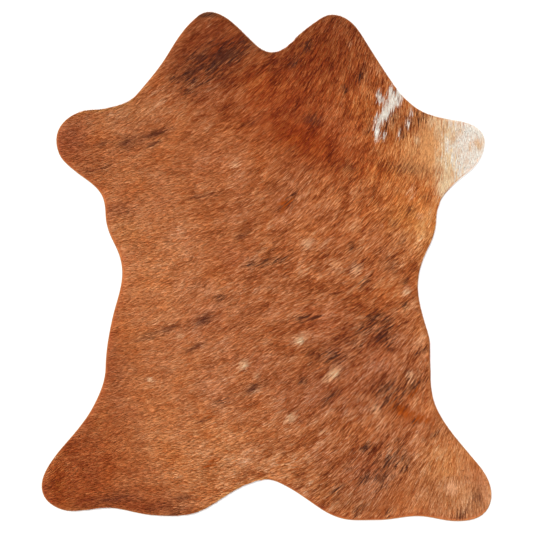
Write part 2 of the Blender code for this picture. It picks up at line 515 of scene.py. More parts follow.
DARK_MARKS = (
    Mark("neck cloud", -92, 372, 72, 36, 0.55, -12),
    Mark("back cloud", 8, 30, 66, 28, 0.16, -5),
    Mark("flank cloud", 197, -112, 48, 32, 0.42, -5),
    Mark("loin cloud", 98, -166, 60, 34, 0.24, -15),
    Mark("hip cloud", 228, -224, 50, 28, 0.4, -25),
    Mark("rump cloud", 212, -362, 54, 36, 0.36),
    Mark("neck bar", -72, 379, 38, 15, 1.0, -14),
    Mark("left of the neck bar", -116, 382, 18, 9, 0.9),
    Mark("neck bar foot", -135, 348, 30, 11, 0.9, -12),
    Mark("below the bar", -130, 321, 21, 10, 0.63),
    Mark("left lobe rim", -105, 454, 22, 8, 0.9, -30),
    Mark("right lobe spot", 75, 399, 15, 9, 0.9),
    Mark("right lobe foot", 52, 371, 16, 10, 0.8, 20),
    Mark("right lobe edge", 172, 343, 18, 9, 0.5),
    Mark("withers spot", 145, 321, 14, 7, 0.83, -95),
    Mark("beside the blaze", 185, 249, 16, 6, 0.5),
    Mark("back hollow", 39, 116, 21, 11, 0.53),
    Mark("back bar low", 7, 8, 39, 7, 0.63, -20),
    Mark("rib dots", 156, 35, 12, 9, 0.68),
    Mark("left back fleck", -80, -55, 11, 6, 0.63),
    Mark("rib spot", 176, -31, 15, 9, 0.73),
    Mark("waist dot", 250, -26, 10, 6, 0.83),
    Mark("saddle streak", 70, -95, 33, 9, 0.58, -20),
    Mark("flank spot one", 196, -93, 14, 9, 0.73),
    Mark("flank spot two", 214, -123, 19, 12, 0.78),
    Mark("flank spot three", 170, -114, 11, 9, 0.63),
    Mark("flank dot", 250, -69, 10, 6, 0.73),
    Mark("flank foot", 224, -143, 11, 8, 0.73),
    Mark("flank rim", 280, -151, 15, 7, 0.63, -50),
    Mark("loin streak", 122, -163, 25, 9, 0.63, -25),
    Mark("loin spot", 68, -208, 10, 9, 0.73),
    Mark("left loin fleck", -80, -244, 18, 8, 0.68),
    Mark("loin bar", 115, -237, 23, 9, 0.68),
    Mark("hip spot one", 212, -226, 18, 11, 0.78),
    Mark("hip spot two", 262, -219, 25, 9, 0.73, -25),
    Mark("hip dot", 235, -257, 9, 8, 0.8),
    Mark("end of the hip bar", 267, -277, 9, 5, 0.6),
    Mark("rump bar", 174, -325, 19, 8, 0.73, -25),
    Mark("rump spot one", 226, -352, 13, 9, 0.68),
    Mark("rump spot two", 250, -356, 13, 10, 0.73),
    Mark("rump spot three", 205, -381, 15, 10, 0.73),
    Mark("rump spot four", 174, -384, 13, 8, 0.63),
    Mark("tail smudge", 127, -406, 16, 9, 0.68),
    Mark("shin smudge", 305, -300, 12, 10, 0.53),
    Mark("shin dot", 322, -363, 7, 6, 0.63),
    Mark("rump spot five", 234, -330, 15, 8, 0.55),
    Mark("rump fleck", 146, -362, 15, 8, 0.5),
    Mark("heel fleck", 220, -446, 15, 7, 0.5),
    Mark("heel streak", 164, -442, 17, 7, 0.5),
    Mark("under the streak", 223, 259, 26, 10, 0.6, -25),
    Mark("under the rim", 274, 268, 24, 13, 0.5, -80),
    Mark("under the tuft", 246, 242, 12, 7, 0.55),
    Mark("rim of the star", 230, 316, 6, 5, 0.7),
)
print(f"{len(DARK_MARKS)} dark marks")

# %% Chart of the smoky marks
SMOKE_MARKS = (
    Mark("elbow streak", -197, 240, 26, 7, 0.9, -8),
    Mark("elbow streak low", -202, 221, 18, 5, 0.8),
    Mark("elbow cloud", -247, 226, 28, 16, 0.6),
    Mark("left paw streak", -296, 221, 16, 5, 0.6),
    Mark("left sole streak", -290, 177, 18, 6, 0.6),
    Mark("left sole cloud", -325, 170, 20, 10, 0.35),
    Mark("left rib edge", -262, 103, 32, 14, 0.36),
    Mark("left rib streak", -110, 127, 40, 6, 0.5, -10),
    Mark("withers bar", -29, 260, 22, 8, 0.5),
    Mark("shoulder cloud", 84, 264, 22, 12, 0.7, -65),
    Mark("end of the withers", 48, 210, 16, 9, 0.55),
    Mark("shoulder bar", 147, 177, 22, 10, 0.6, -60),
    Mark("shoulder line", 250, 177, 46, 13, 0.55, -75),
    Mark("armpit streak", 286, 125, 16, 7, 0.5, -75),
    Mark("gold spot one", 259, 102, 14, 11, 0.5),
    Mark("gold spot two", 233, 78, 12, 9, 0.5),
    Mark("gold spot three", 246, 48, 14, 9, 0.5),
    Mark("back bar high", -42, 58, 22, 9, 0.6, 10),
    Mark("waist smoke", 228, 3, 22, 17, 0.5),
    Mark("left loin spot", -114, -97, 26, 10, 0.85),
    Mark("left loin streak", -198, -120, 52, 9, 0.55),
    Mark("left loin line", -127, -145, 24, 5, 0.65),
    Mark("left loin cloud", -24, -220, 22, 10, 0.8),
    Mark("beside the left loin rust", -112, -278, 16, 7, 0.5),
    Mark("left hind smudge", -278, -418, 50, 10, 0.6),
    Mark("left heel cloud", -185, -432, 46, 13, 0.3),
    Mark("left heel streak", -150, -417, 18, 6, 0.6),
    Mark("left heel rim", -160, -442, 30, 8, 0.5),
    Mark("toe smudge", 350, -446, 18, 10, 0.7, -50),
    Mark("toe cloud", 379, -417, 24, 15, 0.5),
)
print(f"{len(SMOKE_MARKS)} smoky marks")

# %% Chart of the rusty marks and of the scars
RUST_MARKS = (
    Mark("left loin rust", -98, -267, 12, 8, 0.45),
    Mark("left rump rust", -97, -353, 20, 9, 0.5),
    Mark("hip bar", 248, -261, 30, 10, 0.95, -86),
    Mark("foot of the hip bar", 282, -273, 20, 7, 0.7, -70),
    Mark("above the hip bar", 266, -227, 14, 7, 0.6),
    Mark("back rust", 33, 110, 22, 14, 0.5),
    Mark("left thigh rust", -284, -368, 34, 14, 0.15, 75),
)
PALE_MARKS = (
    Mark("scar on the neck", -54, 183, 11, 9, 0.85),
    Mark("neck fleck", -64, 145, 10, 6, 0.4),
    Mark("scar on the ribs", 75, 42, 13, 11, 0.9),
    Mark("ribs beside it", 106, 42, 16, 8, 0.4),
    Mark("scar on the right ribs", 160, -6, 13, 11, 0.85),
    Mark("scar on the right flank", 253, -44, 10, 9, 0.9),
    Mark("scar on the left loin edge", -155, -125, 10, 6, 0.65),
    Mark("scar on the back", 61, -130, 19, 8, 1.0, 5),
    Mark("scar on the left loin", -40, -177, 15, 9, 1.0),
    Mark("scar below it", -18, -197, 8, 6, 0.8),
    Mark("scar on the left flank", -209, -202, 8, 7, 0.85),
    Mark("scar on the loin", 124, -190, 16, 10, 1.0),
    Mark("tail of the loin scar", 109, -201, 10, 6, 0.7),
    Mark("scar on the right hip", 259, -195, 11, 7, 0.85, 30),
    Mark("scar on the thigh", 196, -255, 10, 9, 0.9),
    Mark("scar on the tail line", 44, -273, 14, 9, 1.0),
    Mark("scar on the rump", 100, -298, 11, 6, 0.55, 30),
    Mark("scar on the right toe", 334, -397, 16, 13, 0.9, 60),
    Mark("left rump streak", -155, -384, 18, 7, 0.4, -60),
    Mark("rim of the flank", 277, -132, 22, 12, 0.35),
    Mark("withers fleck", 136, 296, 7, 5, 0.5),
    Mark("left neck streak", -195, 318, 18, 7, 0.4),
    Mark("left neck streak low", -191, 294, 22, 5, 0.5),
    Mark("left lobe patch", -105, 435, 18, 9, 0.15),
    Mark("shoulder fleck", 208, 75, 8, 7, 0.4),
    Mark("rib edge fleck", 276, 91, 9, 7, 0.65),
    Mark("armpit patch", 262, 134, 18, 9, 0.5),
    Mark("right lobe fleck", 151, 402, 7, 5, 0.5),
    Mark("halo of the blaze", 222, 284, 36, 20, 0.36, -28),
)
print(f"{len(RUST_MARKS)} rusty marks and {len(PALE_MARKS)} pale ones")

# %% Chart of the blaze and of the foreleg
WHITE_MARKS = (
    Mark("blaze star", 229, 300, 17, 14, 1.0, -40),
    Mark("blaze crown", 223, 317, 11, 5, 0.85),
    Mark("blaze right tip", 239, 312, 9, 5, 0.8),
    Mark("blaze left of the eye", 201, 309, 12, 5, 0.85, 10),
    Mark("blaze under the eye", 208, 300, 8, 5, 0.85, -60),
    Mark("blaze waist", 221, 287, 9, 6, 0.85),
    Mark("blaze streak", 212, 273, 17, 10, 1.0, -35),
    Mark("blaze tip", 198, 246, 19, 6, 0.95, 15),
    Mark("blaze fleck", 211, 236, 10, 5, 0.75, -10),
    Mark("blaze middle tuft", 239, 236, 12, 5, 0.55),
    Mark("blaze high tuft", 255, 258, 12, 6, 0.55),
    Mark("blaze rim tuft", 261, 279, 10, 5, 0.55),
    Mark("foreleg white", 362, 216, 72, 36),
    Mark("foreleg end", 392, 214, 60, 36),
)
CREAM_MARKS = (
    Mark("foreleg cream", 331, 202, 90, 21, 0.9, 6),
    Mark("foreleg shin", 350, 205, 90, 26, 1.0, 6),
    Mark("foreleg top", 298, 262, 16, 8, 0.6, -40),
    Mark("high cream tongue", 308, 252, 18, 7, 0.5, -25),
    Mark("middle cream tongue", 309, 216, 16, 6, 0.4, -12),
    Mark("low cream tongue", 310, 176, 18, 8, 0.5, 15),
    Mark("foreleg foot", 319, 143, 18, 12, 0.75),
    Mark("heart of the back scar", 61, -134, 9, 7, 0.8),
    Mark("heart of the loin scar", 123, -194, 10, 7, 0.6),
    Mark("heart of the left loin scar", -38, -176, 9, 7, 0.6),
    Mark("heart of the left flank scar", -208, -204, 8, 6, 0.5),
    Mark("heart of the tail line scar", 44, -272, 9, 7, 0.6),
    Mark("heart of the rib scar", 76, 39, 8, 7, 0.5),
    Mark("heart of the flank scar", 253, -45, 7, 6, 0.5),
)
FAWN_MARKS = (
    Mark("foreleg to shoulder", 298, 216, 62, 30, 1.0, 6),
    Mark("fawn under the cream", 336, 206, 76, 32, 1.0, 6),
    Mark("shoulder fawn", 262, 200, 50, 30, 0.55),
)
TAN_MARKS = (
    Mark("tan spot on the foreleg", 380, 221, 14, 9, 0.8),
    Mark("tan spot at the tip", 390, 229, 10, 6, 0.55),
    Mark("tan spot below it", 364, 214, 12, 7, 0.5),
    Mark("tan fleck on the foreleg", 349, 244, 12, 7, 0.7),
    Mark("tan streak of the foreleg", 337, 232, 14, 6, 0.8),
    Mark("tan smudge on the foreleg", 347, 205, 12, 7, 0.45),
    Mark("tan foot of the foreleg", 361, 188, 12, 8, 0.4),
    Mark("tan line of the foreleg", 334, 170, 14, 4, 1.0, 18),
    Mark("orange fleck", 308, 238, 12, 6, 0.8),
    Mark("orange dot", 271, 229, 10, 7, 0.9),
)
MARKINGS = {
    "smoke": SMOKE_MARKS,
    "dark": DARK_MARKS,
    "rust": RUST_MARKS,
    "fawn": FAWN_MARKS,
    "pale": PALE_MARKS,
    "cream": CREAM_MARKS,
    "white": WHITE_MARKS,
    "tan": TAN_MARKS,
}
print(f"{sum(len(marks) for marks in MARKINGS.values())} marks in all")

# %% [markdown]
# ## How a mark colours the hair
#
# A mark is an ellipse that lies along the hair, so it is turned by the comb chart at its own middle.
# All locks rooted in it carry its colour on to their tips, which draws it out, so it is read a little
# shorter than it looks. Where marks of one kind overlap, each colours what the others left bare.

# %% Read a set of marks at a place
LOCK_SMEAR = 6.0  # millimetres by which locks of one colour draw a mark out along the hair
LEAST_LONG = 0.5  # of a mark's own length, however much it is drawn out


def turned_bell(x, y, row, turn, long):
    """1 at the middle of an ellipse that is turned from +X, falling softly to 0 outside it."""
    along = (x - row.x) * math.cos(turn) + (y - row.y) * math.sin(turn)
    across = (y - row.y) * math.cos(turn) - (x - row.x) * math.sin(turn)
    return np.exp(-((along / long) ** 2) - (across / row.wide) ** 2)


def painted(at, marks):
    """How strongly a set of marks colours each point, from 0 to 1."""
    x, y = in_millimetres(at)
    bare = np.ones(len(at))
    for mark in marks:
        middle = np.array([[mark.x * MM, mark.y * MM, 0.0]])
        turn = math.radians(comb_angle(middle)[0] + mark.lean)
        long = max(math.sqrt(max(mark.long**2 - LOCK_SMEAR**2, 0.0)), LEAST_LONG * mark.long)
        bare *= 1.0 - mark.strength * turned_bell(x, y, mark, turn, long)
    return 1.0 - bare


print(f"the middle of the rug is {painted(np.zeros((1, 3)), DARK_MARKS)[0]:.2f} dark")

# %% [markdown]
# ## Broad washes and painted sheen
#
# Apart from its marks, the hide is darker and redder on some lobes, legs and flanks, and fairer on
# others. Some of the lighter, greyer washes, as over the left flank, are painted sheen, where the hair
# catches the light. Broad, soft ellipses say so for the whole hide. Their turn is in degrees from +X,
# and red, green and blue say by how many percent the coat there is lighter or darker than the plain
# coat.

# %% Chart of the washes and of the painted sheen
Wash = namedtuple("Wash", "name x y long wide turn red green blue")
WASHES_AND_SHEEN = (
    Wash("left neck lobe", -98, 392, 94, 80, 0, -43, -63, -73),
    Wash("right neck lobe", 95, 395, 102, 88, 0, -45, -67, -80),
    Wash("neck crease", 10, 332, 75, 45, 0, 3, -14, -36),
    Wash("neck rust", 115, 306, 120, 66, -20, -7, -30, -52),
    Wash("withers", 55, 255, 150, 55, -28, -18, -40, -56),
    Wash("withers band", 72, 222, 125, 42, -25, -14, -42, -73),
    Wash("left fore paw", -352, 225, 48, 35, 90, -24, -36, -33),
    Wash("left elbow", -252, 278, 74, 30, 0, 9, 37, 74),
    Wash("left withers", -40, 180, 60, 32, 0, 13, 20, 28),
    Wash("shoulder gold", 262, 140, 105, 62, 100, 22, 37, 20),
    Wash("beside the foreleg", 232, 262, 52, 66, 0, 8, 20, 12),
    Wash("under the blaze", 243, 252, 42, 15, -10, -22, -26, -18),
    Wash("rib gold", 246, 86, 32, 26, 0, 3, 2, -16),
    Wash("rib edge", 288, 52, 42, 26, 90, 16, 42, 52),
    # Painted sheen: the left flank is lighter and greyer where its hair catches the light.
    Wash("left flank", -205, 5, 160, 110, 90, 16, 34, 50),
    Wash("left rib edge", -272, 66, 40, 25, 0, 2, 20, 42),
    Wash("left rib shade", -256, 106, 34, 20, 15, -8, -14, -12),
    Wash("left of the spine", -98, -110, 150, 75, 90, 5, 15, 32),
    Wash("left groin", -280, -180, 80, 30, 90, -20, -30, -34),
    Wash("saddle", 100, 65, 85, 60, 0, 8, 5, -3),
    Wash("saddle tuft", 78, 47, 26, 20, 30, 12, 24, 32),
    Wash("waist", 226, -42, 55, 36, 0, -5, -22, -46),
    Wash("saddle foot", 82, -96, 50, 26, 0, -3, -19, -33),
    Wash("right flank", 186, -138, 80, 48, 0, -22, -32, -32),
    Wash("flank rim", 280, -112, 40, 18, 90, 25, 45, 52),
    Wash("loin shade", 145, -218, 130, 46, 0, -14, -20, -14),
    Wash("right hip", 268, -204, 35, 28, 0, -8, -10, -16),
    Wash("left loin", -150, -215, 90, 50, 0, 5, 12, 18),
    Wash("left rump", -120, -312, 130, 60, 0, 17, 33, 40),
    Wash("left of the tail", -112, -382, 60, 46, 0, 15, 36, 54),
    Wash("tail", 0, -356, 95, 44, 0, 9, 23, 36),
    Wash("right of the tail", 88, -404, 52, 40, 0, 0, 12, 26),
    Wash("left hind leg", -345, -384, 104, 66, 50, -27, -50, -68),
    Wash("left heel", -240, -434, 100, 30, 0, -31, -51, -63),
    Wash("left hind toe rust", -374, -384, 38, 15, 85, -5, -18, -52),
    Wash("left hind sole rust", -366, -427, 20, 16, 0, -3, -12, -40),
    Wash("left thigh rust", -286, -364, 46, 14, 85, -3, -15, -34),
    Wash("left groin rust", -303, -280, 40, 9, 60, -2, -8, -22),
    Wash("left lobe inner", -72, 412, 45, 38, 0, 0, -12, -28),
    Wash("right lobe red", 112, 380, 88, 66, 0, 0, -9, -32),
    Wash("below the neck bar", -30, 334, 60, 28, -15, 8, 8, -6),
    Wash("left of the blaze", 165, 288, 30, 24, 0, 4, 12, 7),
    Wash("foot of the withers", 52, 230, 28, 22, 0, 0, -9, -26),
    Wash("shoulder foot", 268, 172, 70, 26, 0, -2, -8, -17),
    Wash("right of the back", 160, -120, 42, 300, 0, 0, -7, -18),
    Wash("left armpit", -236, 170, 80, 24, 0, 0, 5, 13),
    Wash("left side", -140, -42, 62, 24, 0, 1, 6, 17),
    Wash("right flank hollow", 212, -148, 30, 22, 0, 2, -9, -21),
    Wash("right loin", 160, -256, 36, 24, 0, -11, -14, -13),
    Wash("right saddle", 52, 12, 30, 22, 0, 0, -5, -13),
    Wash("left waist", -112, -96, 34, 26, 0, -4, -14, -18),
    Wash("left of the back", -56, 12, 34, 26, 0, -4, -15, -21),
    Wash("left thigh", -218, -205, 36, 30, 0, 8, 14, 20),
    Wash("left rump edge", -218, -312, 36, 36, 0, 2, 10, 18),
    Wash("left fore sole", -326, 180, 30, 26, 0, -1, 6, 20),
    Wash("left shank", -330, -310, 40, 30, 50, -15, -23, -27),
    Wash("rib foot", 272, 16, 32, 25, 90, 12, 21, 36),
    Wash("right ribs", 160, 40, 55, 50, 0, -6, -10, -14),
    Wash("foot of the spine", -48, -178, 60, 50, 0, 5, 9, 15),
    Wash("shoulder hollow", 185, 172, 50, 26, 0, 3, -6, -30),
    Wash("left shoulder", -112, 172, 40, 28, 0, -5, -12, -20),
    Wash("left neck", -140, 282, 55, 26, 0, -3, -8, -15),
    Wash("right rump", 182, -366, 54, 40, 0, -21, -30, -25),
    Wash("right sole", 170, -424, 60, 32, 0, -13, -13, -12),
    Wash("right hind leg", 322, -355, 75, 60, 40, 10, 32, 40),
    Wash("right toes", 362, -424, 64, 40, 0, 17, 66, 135),
)
print(f"{len(WASHES_AND_SHEEN)} washes")

# %% [markdown]
# ## Calm and lively hair
#
# On the left flank neighbouring locks are nearly alike, and on the right one they differ much. A
# chart of columns across the hide, with a few patches over them, says how much they differ in each
# place, as a share of how much they differ on the plain coat.

# %% Chart of the lively hair
LivelyColumn = namedtuple("LivelyColumn", "name x share")
LIVELY_COLUMNS = (
    LivelyColumn("left legs", -380, 0.7),
    LivelyColumn("left flank", -250, 0.5),
    LivelyColumn("left ribs", -150, 0.65),
    LivelyColumn("left of the back", -60, 0.85),
    LivelyColumn("back", 20, 1.02),
    LivelyColumn("right of the back", 95, 1.2),
    LivelyColumn("right ribs", 170, 1.4),
    LivelyColumn("right flank", 240, 1.25),
    LivelyColumn("right legs", 320, 1.0),
    LivelyColumn("right toes", 380, 0.6),
)
LivelyPatch = namedtuple("LivelyPatch", "name x y reach_x reach_y share")
LIVELY_PATCHES = (
    LivelyPatch("neck", 60, 390, 130, 70, 0.3),
    LivelyPatch("left of the neck", -80, 335, 110, 70, 0.45),
    LivelyPatch("shoulder gold", 245, 190, 50, 60, -0.3),
    LivelyPatch("rib gold", 252, 85, 50, 45, -0.35),
    LivelyPatch("left hind leg", -360, -360, 60, 60, 0.35),
    LivelyPatch("right sole", 250, -430, 90, 50, -0.35),
    LivelyPatch("right toes", 350, -400, 60, 60, -0.2),
)


def liveliness(at):
    """How much neighbouring locks differ at each point, as a share of the plain coat's."""
    x, y = in_millimetres(at)
    share = np.interp(x, [c.x for c in LIVELY_COLUMNS], [c.share for c in LIVELY_COLUMNS])
    for row in LIVELY_PATCHES:
        share = share + row.share * bell(x, y, row)
    return share


root_lively = liveliness(root_at)
print(f"hair is {root_lively.min():.2f} to {root_lively.max():.2f} times as lively as plain coat")

# %% [markdown]
# ## Painted light along the cut edge
#
# Along the cut edge the coat is painted lighter and more golden, as painted light: the hair there is
# thin and lets light through, and the edge looks brighter than the middle. Its tint fades inwards over
# a few millimetres, and it goes from one hue at the left edge to another at the right one. The washes
# are multiplied over it.

# %% Read the painted light of the edge and the washes
# Painted light: near the cut edge the coat is multiplied lighter and more golden.
RIM_REACH = 4.0 * MM
RIM_FADE = 3.0  # times that reach, past which nothing is left of the tint
RIM_LIGHT_LEFT = np.array([0.97, 1.09, 0.83])  # what multiplies red, green and blue along the left cut edge
RIM_LIGHT_RIGHT = np.array([1.07, 1.15, 1.06])


def rim_light_gain(at):
    """The painted light, lighter and more golden, on the hair over the cut edge, on the same scale as the
    washes.
    """
    gap = np.full(len(at), NO_EDGE)
    for index, place in enumerate(at.tolist()):
        nearest = wall.find_nearest(Vector(place), RIM_FADE * RIM_REACH)
        if nearest[0] is not None:
            gap[index] = nearest[3]
    there = np.exp(-((gap / RIM_REACH) ** 2))[:, None]
    side = np.clip(0.5 + at[:, :1] / RUG_WIDTH, 0.0, 1.0)
    return 1.0 + there * (RIM_LIGHT_LEFT + (RIM_LIGHT_RIGHT - RIM_LIGHT_LEFT) * side - 1.0)


def washed(at):
    """What the washes and the painted light of the cut edge multiply red, green and blue by at each point.
    """
    x, y = in_millimetres(at)
    gain = rim_light_gain(at)
    for row in WASHES_AND_SHEEN:
        there = turned_bell(x, y, row, math.radians(row.turn), row.long)
        gain *= 1.0 + there[:, None] * np.array([row.red, row.green, row.blue]) / 100.0
    return gain


print("in the middle of the rug they multiply by", washed(np.zeros((1, 3)))[0].round(2).tolist())

# %% [markdown]
# ## Put the charts on the hide
#
# A lock wears its root's colour all along, so for the locks the charts are read at the middle of what
# shows of each. The leather below wears the same pattern, read at its own points. What is read is
# kept on the points of the meshes, where materials find it by name.

# %% Keep the charts on the roots and on the leather
SHOWN_MIDDLE = 0.52  # of a lock's length, from its root


def paint_markings(mesh, at):
    """Keeps all markings on the points of a mesh, which stand at the places given."""
    store(mesh, "wash", washed(at))
    store(mesh, "lively", liveliness(at))
    for name, marks in MARKINGS.items():
        store(mesh, name, painted(at, marks))


shown_at = root_at + ahead * (SHOWN_MIDDLE * lock_length)[:, None]
paint_markings(roots.data, shown_at)
skin_at = points_of(skin.data)
paint_markings(skin.data, skin_at)
store(skin.data, "comb", comb_angle(skin_at))
print("kept:", ", ".join(["wash", "lively", *MARKINGS]))

# %% [markdown]
# ## One lock of hair
#
# A lock tapers to a point at both ends, with a ridge along its back. It climbs from its root to its
# belly and lies level from there to its tip. A three-sided cone makes the long half, and its open end is
# drawn out and closed to make the short one: six faces in all. It is a unit long, wide and high, so that
# each copy can be scaled to size.

# %% Model the lock
BELLY = 0.3  # how far from the root it is widest
BELLY_LEVEL = 0.88
RIDGE = 0.12  # from its middle up to its ridge
TIP_LEVEL = 0.84
AT_BELLY = 0.01  # how near to the belly the corners of the open end stand

bpy.ops.object.select_all(action="DESELECT")
bpy.ops.mesh.primitive_cone_add(
    vertices=3,
    radius1=0.5,
    radius2=0.0,
    depth=1.0 - BELLY,
    end_fill_type="NOTHING",
    rotation=(0.0, math.pi / 2, 0.0),
)
lock = bpy.context.object
lock.name = "hair_lock"
bpy.ops.object.transform_apply(location=True, rotation=True, scale=True)
open_end = min(v.co.x for v in lock.data.vertices)
bpy.context.tool_settings.mesh_select_mode = (False, True, False)
edit_only(lock)
bpy.ops.transform.rotate(value=-math.pi / 2, orient_axis="X", center_override=(0.0, 0.0, 0.0))
widen = 2.0 / math.sqrt(3.0)  # a three-sided cone of radius 0.5 is not quite a unit wide
bpy.ops.transform.resize(value=(1.0, widen, 2.0 * RIDGE), center_override=(0.0, 0.0, 0.0))
bpy.ops.transform.translate(value=(BELLY - open_end, 0.0, TIP_LEVEL))
bpy.ops.mesh.select_all(action="DESELECT")
bpy.ops.object.mode_set(mode="OBJECT")
for edge in lock.data.edges:
    edge.select = all(abs(lock.data.vertices[i].co.x - BELLY) < AT_BELLY for i in edge.vertices)
bpy.ops.object.mode_set(mode="EDIT")
bpy.ops.transform.translate(value=(0.0, 0.0, BELLY_LEVEL - TIP_LEVEL))
bpy.ops.mesh.extrude_edges_move(TRANSFORM_OT_translate={"value": (-BELLY, 0.0, -BELLY_LEVEL)})
bpy.ops.mesh.merge(type="CENTER")
bpy.ops.mesh.select_all(action="SELECT")
bpy.ops.mesh.normals_make_consistent(inside=False)
bpy.ops.object.mode_set(mode="OBJECT")
bpy.ops.object.shade_smooth()
print([tuple(round(x, 2) for x in v.co) for v in lock.data.vertices])

# %% [markdown]
# ## The coat
#
# Geometry Nodes lays a copy of the lock on every root, turned and scaled by what the root says, and
# realizes the copies as one mesh. Each lock keeps the place of its root, so that a material can give
# it one colour from root to tip, and a spot of its own on the piece's map. The coat is made in five
# bands from neck to rump, which overlap like thatch, because one mesh of it would be too heavy.

# %% Nodes that lay the locks
SPOT_SIZE = 1.0 * MM  # how much of the map a lock takes, beside its root


def math_node(tree, operation, *values, **settings):
    """A Math node with its inputs filled or linked in order, as its output socket."""
    inputs = dict(enumerate(values))
    return add_node(tree, "ShaderNodeMath", inputs, operation=operation, **settings).outputs[0]


def vector_math(tree, operation, *values):
    """A Vector Math node with its inputs filled or linked in order, as its output socket."""
    inputs = dict(enumerate(values))
    return add_node(tree, "ShaderNodeVectorMath", inputs, operation=operation).outputs[0]


def combine(tree, **parts):
    """A vector made of its parts X, Y and Z, as a socket."""
    return add_node(tree, "ShaderNodeCombineXYZ", parts).outputs[0]


def read_vector(tree, name):
    """A vector that the geometry keeps under a name, as a socket."""
    node = add_node(tree, "GeometryNodeInputNamedAttribute", {"Name": name}, data_type="FLOAT_VECTOR")
    return node.outputs[0]


def keep_vector(tree, geometry, name, value, domain, kind="FLOAT_VECTOR"):
    """Keeps a vector on a geometry under a name, and hands the geometry on as a socket."""
    inputs = {"Geometry": geometry, "Name": name, "Value": value}
    node = add_node(tree, "GeometryNodeStoreNamedAttribute", inputs, data_type=kind, domain=domain)
    return node.outputs[0]


def lay_locks_nodes():
    """The node tree that lays a lock on each root between two lines across the hide."""
    inputs = {"Roots": "Geometry", "Low": "Float", "High": "Float"}
    tree, start = new_tree("lay_locks", "GeometryNodeTree", inputs, {"Coat": "Geometry"})
    low, high = start.outputs["Low"], start.outputs["High"]
    place = add_node(tree, "GeometryNodeInputPosition").outputs[0]
    along_y = add_node(tree, "ShaderNodeSeparateXYZ", {0: place}).outputs["Y"]
    over = compare(tree, "GREATER_EQUAL", along_y, low)
    under = compare(tree, "LESS_THAN", along_y, high)
    inside = add_node(tree, "FunctionNodeBooleanMath", {0: over, 1: under}, operation="AND")
    turned = add_node(tree, "FunctionNodeEulerToRotation", {0: read_vector(tree, "lay")})
    model = add_node(tree, "GeometryNodeObjectInfo", {"Object": lock})
    marked = keep_vector(tree, model.outputs["Geometry"], "strand", place, "POINT")
    laid = add_node(
        tree,
        "GeometryNodeInstanceOnPoints",
        {
            "Points": start.outputs["Roots"],
            "Selection": inside.outputs[0],
            "Instance": marked,
            "Rotation": turned.outputs[0],
            "Scale": read_vector(tree, "size"),
        },
    )
    rooted = keep_vector(tree, laid.outputs[0], "root", place, "INSTANCE")
    real = add_node(tree, "GeometryNodeRealizeInstances", {0: rooted})
    strand, root = read_vector(tree, "strand"), read_vector(tree, "root")
    beside = vector_math(tree, "MULTIPLY_ADD", strand, (SPOT_SIZE,) * 3, root)
    spread = combine(tree, X=RUG_WIDTH, Y=math_node(tree, "SUBTRACT", high, low), Z=1.0)
    moved = vector_math(tree, "SUBTRACT", beside, combine(tree, X=cad_low.x, Y=low))
    mapped = vector_math(tree, "DIVIDE", moved, spread)
    unwrapped = keep_vector(tree, real.outputs[0], "OFBake", mapped, "CORNER", "FLOAT2")
    add_node(tree, "NodeGroupOutput", {0: unwrapped})
    return tree


lay_locks = lay_locks_nodes()
print(f"{len(lay_locks.nodes)} nodes lay the locks")

# %% Lay the locks in five bands
BAND_EDGES = (-0.5, -0.300, -0.128, 0.062, 0.220, 0.5)
BAND_NAMES = ("coat_rump", "coat_loins", "coat_saddle", "coat_shoulders", "coat_neck")
LOCK_FACES = len(lock.data.polygons)

coat = []
for name, low, high in zip(BAND_NAMES, BAND_EDGES, BAND_EDGES[1:]):
    band = new_object(name, roots.data.copy())
    apply_nodes(band, lay_locks, Low=low, High=high)
    coat.append(band)
    print(f"{name}: {len(band.data.polygons)} faces, {len(band.data.polygons) // LOCK_FACES} locks")
for helper in (roots, lock):
    bpy.data.objects.remove(helper)

# %% [markdown]
# ## The brindle
#
# Brindle is made of short dark and light dashes that follow the hair. A noise texture stretched along
# one direction gives such dashes, but the hair turns from level to upright across the hide. So the
# same noise is made along four directions, and each place mixes the two that lie nearest to its own.
# It is a node group, because the leather under the hair wears the same pattern.

# %% Brindle node group
BRINDLE_TURNS = (14.0, 37.0, 60.0, 83.0)  # degrees from +X
TURN_STEP = BRINDLE_TURNS[1] - BRINDLE_TURNS[0]
Streaks = namedtuple("Streaks", "name density detail seed")  # density along and across, to the metre
STREAKS = (
    Streaks("Coarse", (17.0, 46.0, 1.0), 4.0, 3.0),
    Streaks("Fine", (42.0, 310.0, 1.0), 2.0, 8.0),
)
STREAK_ROUGHNESS = 0.62
SEED_STEP = 5.0  # from one direction to the next
LEAST_POWER = 0.2  # of the noises that mix, where the hair lies far past the last direction


def noise_node(tree, place, scale, detail, roughness, **settings):
    """A noise texture at a place, as its output socket."""
    inputs = {"Vector": place, "Scale": scale, "Detail": detail, "Roughness": roughness}
    return add_node(tree, "ShaderNodeTexNoise", inputs, **settings).outputs[0]


def turned_streaks(tree, place, angle, streaks, seed):
    """Noise drawn out along one direction, as a socket that swings about zero."""
    turned = add_node(
        tree,
        "ShaderNodeVectorRotate",
        {"Vector": place, "Axis": (0.0, 0.0, 1.0), "Angle": math.radians(-angle)},
        rotation_type="AXIS_ANGLE",
    )
    shift = {"Vector": turned.outputs[0], "Location": (seed, seed, 0.0), "Scale": streaks.density}
    drawn = add_node(tree, "ShaderNodeMapping", shift)
    noise = noise_node(
        tree, drawn.outputs[0], 1.0, streaks.detail, STREAK_ROUGHNESS, noise_dimensions="2D"
    )
    return math_node(tree, "SUBTRACT", noise, 0.5)


